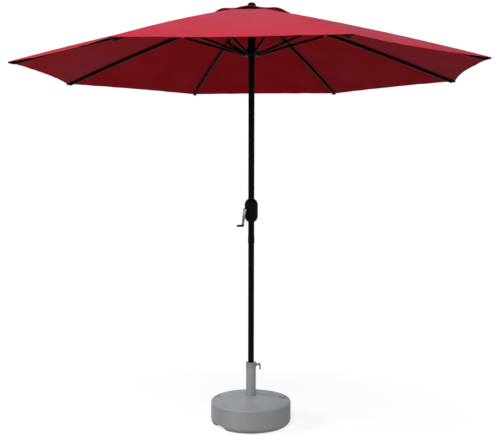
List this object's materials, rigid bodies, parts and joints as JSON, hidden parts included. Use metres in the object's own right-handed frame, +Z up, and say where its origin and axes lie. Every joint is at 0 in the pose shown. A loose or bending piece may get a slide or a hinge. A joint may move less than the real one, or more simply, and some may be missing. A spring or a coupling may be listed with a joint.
{
  "type": "patio umbrella",
  "caption": "Free-standing market umbrella with a vented fabric canopy, crank lift, two-piece pole and a round water-filled base.",
  "frame": {"origin": "on the ground, at the centre of the round base, with the umbrella open and standing upright", "axes": "+Z up along the pole, +X towards the base's clamp screw, +Y towards the snap button"},
  "size_m": [2.504, 2.504, 2.46],
  "materials": {
    "canopy_fabric": "matte",
    "black_powder_coat": "satin",
    "black_plastic": "satin",
    "grey_hdpe": "satin",
    "grey_painted_steel": "satin",
    "plated_steel": "satin",
    "rubber_seal": "matte",
    "lift_cord": "matte",
    "water": "gloss"
  },
  "bodies": {
    "base": {"base_shell": "grey_hdpe", "water_fill": "water", "base_post": "grey_painted_steel", "post_collar": "grey_hdpe", "pole_adapter": "black_plastic"},
    "clamp": {"clamp_screw": "grey_hdpe"},
    "filler_seal": {"filler_gasket": "rubber_seal"},
    "filler": {"filler_cap": "grey_hdpe"},
    "pole_foot": {"foot_plug": "black_plastic"},
    "mast": {"lower_pole": "black_powder_coat", "upper_pole": "black_powder_coat", "joint_sleeve": "black_powder_coat", "housing_front": "black_plastic", "housing_rear": "black_plastic", "crank_bush": "black_plastic", "crown_hub": "black_plastic", "crown_cap": "black_plastic", "pulley_axle": "plated_steel", "lift_cord": "lift_cord", "vent_canopy": "canopy_fabric", "button_spring": "plated_steel"},
    "button": {"snap_button": "plated_steel"},
    "crank": {"spool_shaft": "plated_steel", "crank_arm": "plated_steel", "grip_rivet": "plated_steel"},
    "grip": {"crank_grip": "black_plastic"},
    "pulley": {"cord_pulley": "black_plastic"},
    "runner": {"runner_hub": "black_plastic"},
    "rib_1": {"rib_1": "black_powder_coat", "rib_tip_1": "black_plastic", "canopy_panel_1": "canopy_fabric"},
    "rib_2": {"rib_2": "black_powder_coat", "rib_tip_2": "black_plastic", "canopy_panel_2": "canopy_fabric"},
    "rib_3": {"rib_3": "black_powder_coat", "rib_tip_3": "black_plastic", "canopy_panel_3": "canopy_fabric"},
    "rib_4": {"rib_4": "black_powder_coat", "rib_tip_4": "black_plastic", "canopy_panel_4": "canopy_fabric"},
    "rib_5": {"rib_5": "black_powder_coat", "rib_tip_5": "black_plastic", "canopy_panel_5": "canopy_fabric"},
    "rib_6": {"rib_6": "black_powder_coat", "rib_tip_6": "black_plastic", "canopy_panel_6": "canopy_fabric"},
    "rib_7": {"rib_7": "black_powder_coat", "rib_tip_7": "black_plastic", "canopy_panel_7": "canopy_fabric"},
    "rib_8": {"rib_8": "black_powder_coat", "rib_tip_8": "black_plastic", "canopy_panel_8": "canopy_fabric"},
    "strut_1": {"strut_1": "black_powder_coat"},
    "strut_2": {"strut_2": "black_powder_coat"},
    "strut_3": {"strut_3": "black_powder_coat"},
    "strut_4": {"strut_4": "black_powder_coat"},
    "strut_5": {"strut_5": "black_powder_coat"},
    "strut_6": {"strut_6": "black_powder_coat"},
    "strut_7": {"strut_7": "black_powder_coat"},
    "strut_8": {"strut_8": "black_powder_coat"}
  },
  "joints": [
    {"name": "clamp_turn", "type": "hinge", "parent": "base", "child": "clamp", "pos_m": [0, 0, 0.353], "axis": [1, 0, 0], "range_deg": [0, 720]},
    {"name": "filler_lift", "type": "slide", "parent": "base", "child": "filler_seal", "axis": [0, 0, 1], "range_m": [0, 0.04]},
    {"name": "filler_turn", "type": "hinge", "parent": "filler_seal", "child": "filler", "pos_m": [0.1825, 0.04079, 0.155], "axis": [0, 0, 1], "range_deg": [0, 540]},
    {"name": "mast_lift", "type": "slide", "parent": "base", "child": "pole_foot", "axis": [0, 0, 1], "range_m": [0, 0.36]},
    {"name": "mast_turn", "type": "hinge", "parent": "pole_foot", "child": "mast", "pos_m": [0, 0, 0.03], "axis": [0, 0, 1], "continuous": true},
    {"name": "button_press", "type": "slide", "parent": "mast", "child": "button", "axis": [0, -1, 0], "range_m": [0, 0.005], "stiffness_N_per_m": 800, "springref_m": -0.002, "deforming": ["button_spring"]},
    {"name": "runner_slide", "type": "slide", "parent": "mast", "child": "runner", "axis": [0, 0, -1], "range_m": [0, 0.61476], "deforming": ["canopy_panel_1", "canopy_panel_2", "canopy_panel_3", "canopy_panel_4", "canopy_panel_5", "canopy_panel_6", "canopy_panel_7", "canopy_panel_8", "vent_canopy", "lift_cord"]},
    {"name": "crank_turn", "type": "hinge", "parent": "mast", "child": "crank", "pos_m": [0, 0, 1.266], "axis": [-0.7071, -0.7071, 0], "range_deg": [0, 3240.5]},
    {"name": "grip_spin", "type": "hinge", "parent": "crank", "child": "grip", "pos_m": [-0.05657, -0.05657, 1.174], "axis": [-0.7071, -0.7071, 0], "continuous": true},
    {"name": "pulley_spin", "type": "hinge", "parent": "mast", "child": "pulley", "pos_m": [0.00636, 0.00636, 2.352], "axis": [-0.7071, 0.7071, 0], "range_deg": [0, 2935.75]},
    {"name": "rib_fold_1", "type": "hinge", "parent": "mast", "child": "rib_1", "pos_m": [0.03141, 0.01301, 2.415], "axis": [-0.3827, 0.9239, 0], "range_deg": [0, 69.47]},
    {"name": "rib_fold_2", "type": "hinge", "parent": "mast", "child": "rib_2", "pos_m": [0.01301, 0.03141, 2.415], "axis": [-0.9239, 0.3827, 0], "range_deg": [0, 69.47]},
    {"name": "rib_fold_3", "type": "hinge", "parent": "mast", "child": "rib_3", "pos_m": [-0.01301, 0.03141, 2.415], "axis": [-0.9239, -0.3827, 0], "range_deg": [0, 69.47]},
    {"name": "rib_fold_4", "type": "hinge", "parent": "mast", "child": "rib_4", "pos_m": [-0.03141, 0.01301, 2.415], "axis": [-0.3827, -0.9239, 0], "range_deg": [0, 69.47]},
    {"name": "rib_fold_5", "type": "hinge", "parent": "mast", "child": "rib_5", "pos_m": [-0.03141, -0.01301, 2.415], "axis": [0.3827, -0.9239, 0], "range_deg": [0, 69.47]},
    {"name": "rib_fold_6", "type": "hinge", "parent": "mast", "child": "rib_6", "pos_m": [-0.01301, -0.03141, 2.415], "axis": [0.9239, -0.3827, 0], "range_deg": [0, 69.47]},
    {"name": "rib_fold_7", "type": "hinge", "parent": "mast", "child": "rib_7", "pos_m": [0.01301, -0.03141, 2.415], "axis": [0.9239, 0.3827, 0], "range_deg": [0, 69.47]},
    {"name": "rib_fold_8", "type": "hinge", "parent": "mast", "child": "rib_8", "pos_m": [0.03141, -0.01301, 2.415], "axis": [0.3827, 0.9239, 0], "range_deg": [0, 69.47]},
    {"name": "strut_fold_1", "type": "hinge", "parent": "rib_1", "child": "strut_1", "pos_m": [0.42, 0.17397, 2.2928], "axis": [-0.3827, 0.9239, 0], "range_deg": [-138.85, 0]},
    {"name": "strut_fold_2", "type": "hinge", "parent": "rib_2", "child": "strut_2", "pos_m": [0.17397, 0.42, 2.2928], "axis": [-0.9239, 0.3827, 0], "range_deg": [-138.85, 0]},
    {"name": "strut_fold_3", "type": "hinge", "parent": "rib_3", "child": "strut_3", "pos_m": [-0.17397, 0.42, 2.2928], "axis": [-0.9239, -0.3827, 0], "range_deg": [-138.85, 0]},
    {"name": "strut_fold_4", "type": "hinge", "parent": "rib_4", "child": "strut_4", "pos_m": [-0.42, 0.17397, 2.2928], "axis": [-0.3827, -0.9239, 0], "range_deg": [-138.85, 0]},
    {"name": "strut_fold_5", "type": "hinge", "parent": "rib_5", "child": "strut_5", "pos_m": [-0.42, -0.17397, 2.2928], "axis": [0.3827, -0.9239, 0], "range_deg": [-138.85, 0]},
    {"name": "strut_fold_6", "type": "hinge", "parent": "rib_6", "child": "strut_6", "pos_m": [-0.17397, -0.42, 2.2928], "axis": [0.9239, -0.3827, 0], "range_deg": [-138.85, 0]},
    {"name": "strut_fold_7", "type": "hinge", "parent": "rib_7", "child": "strut_7", "pos_m": [0.17397, -0.42, 2.2928], "axis": [0.9239, 0.3827, 0], "range_deg": [-138.85, 0]},
    {"name": "strut_fold_8", "type": "hinge", "parent": "rib_8", "child": "strut_8", "pos_m": [0.42, -0.17397, 2.2928], "axis": [0.3827, 0.9239, 0], "range_deg": [-138.85, 0]}
  ],
  "couplings": [
    {"joint": "crank_turn", "follows": "runner_slide", "rad_per_m": 91.985},
    {"joint": "pulley_spin", "follows": "runner_slide", "rad_per_m": 83.333},
    {"joint": "rib_fold_1", "follows": "runner_slide", "rad_per_m": 1.972},
    {"joint": "rib_fold_2", "follows": "runner_slide", "rad_per_m": 1.972},
    {"joint": "rib_fold_3", "follows": "runner_slide", "rad_per_m": 1.972},
    {"joint": "rib_fold_4", "follows": "runner_slide", "rad_per_m": 1.972},
    {"joint": "rib_fold_5", "follows": "runner_slide", "rad_per_m": 1.972},
    {"joint": "rib_fold_6", "follows": "runner_slide", "rad_per_m": 1.972},
    {"joint": "rib_fold_7", "follows": "runner_slide", "rad_per_m": 1.972},
    {"joint": "rib_fold_8", "follows": "runner_slide", "rad_per_m": 1.972},
    {"joint": "strut_fold_1", "follows": "runner_slide", "rad_per_m": -3.9416},
    {"joint": "strut_fold_2", "follows": "runner_slide", "rad_per_m": -3.9416},
    {"joint": "strut_fold_3", "follows": "runner_slide", "rad_per_m": -3.9416},
    {"joint": "strut_fold_4", "follows": "runner_slide", "rad_per_m": -3.9416},
    {"joint": "strut_fold_5", "follows": "runner_slide", "rad_per_m": -3.9416},
    {"joint": "strut_fold_6", "follows": "runner_slide", "rad_per_m": -3.9416},
    {"joint": "strut_fold_7", "follows": "runner_slide", "rad_per_m": -3.9416},
    {"joint": "strut_fold_8", "follows": "runner_slide", "rad_per_m": -3.9416}
  ]
}
